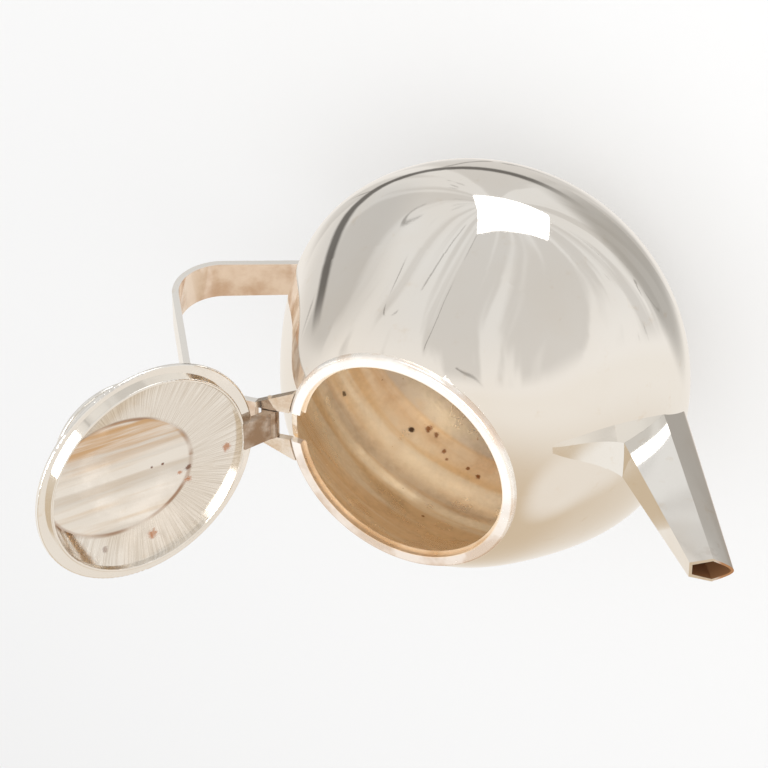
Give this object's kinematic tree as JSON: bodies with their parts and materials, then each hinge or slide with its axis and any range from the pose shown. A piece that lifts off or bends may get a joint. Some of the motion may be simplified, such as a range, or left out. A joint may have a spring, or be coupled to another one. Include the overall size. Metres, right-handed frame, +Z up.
{
  "type": "coffee pot",
  "caption": "Egg-shaped metal coffee pot with a hinged lid under a flared knob, a bent strap handle and a straight faceted spout.",
  "frame": {"origin": "centre of the flat underside, on the pot's axis", "axes": "+Z up along the pot's axis, +X towards the spout, handle and hinge at -X, hinge pin along Y; the lid rests wide open"},
  "size_m": [0.2308, 0.1458, 0.192],
  "materials": {
    "body_silver": "polished silver with fine wear",
    "rim_silver": "satin silver",
    "spout_silver": "polished silver",
    "handle_silver": "polished silver, tarnished inner face",
    "hinge_silver": "lightly tarnished silver",
    "lid_silver": "polished silver, stained inside",
    "knob_silver": "polished silver"
  },
  "bodies": {
    "pot": {"body_base": "body_silver", "body_belly": "body_silver", "body_shoulder": "body_silver", "base_plate": "body_silver", "foot_ring": "body_silver", "rim_ring": "rim_silver", "spout": "spout_silver", "handle_strap": "handle_silver", "hinge_ear_near": "hinge_silver", "hinge_ear_far": "hinge_silver", "hinge_pin": "hinge_silver"},
    "lid": {"lid_flange": "lid_silver", "lid_collar": "lid_silver", "lid_dome": "lid_silver", "lid_knob": "knob_silver", "lid_knob_cap": "knob_silver", "lid_tongue": "hinge_silver"}
  },
  "joints": [
    {"name": "lid_hinge", "type": "hinge", "parent": "pot", "child": "lid", "pos_m": [-0.0486, 0, 0.1123], "axis": [0, 1, 0], "range_deg": [0, 117.6]}
  ]
}
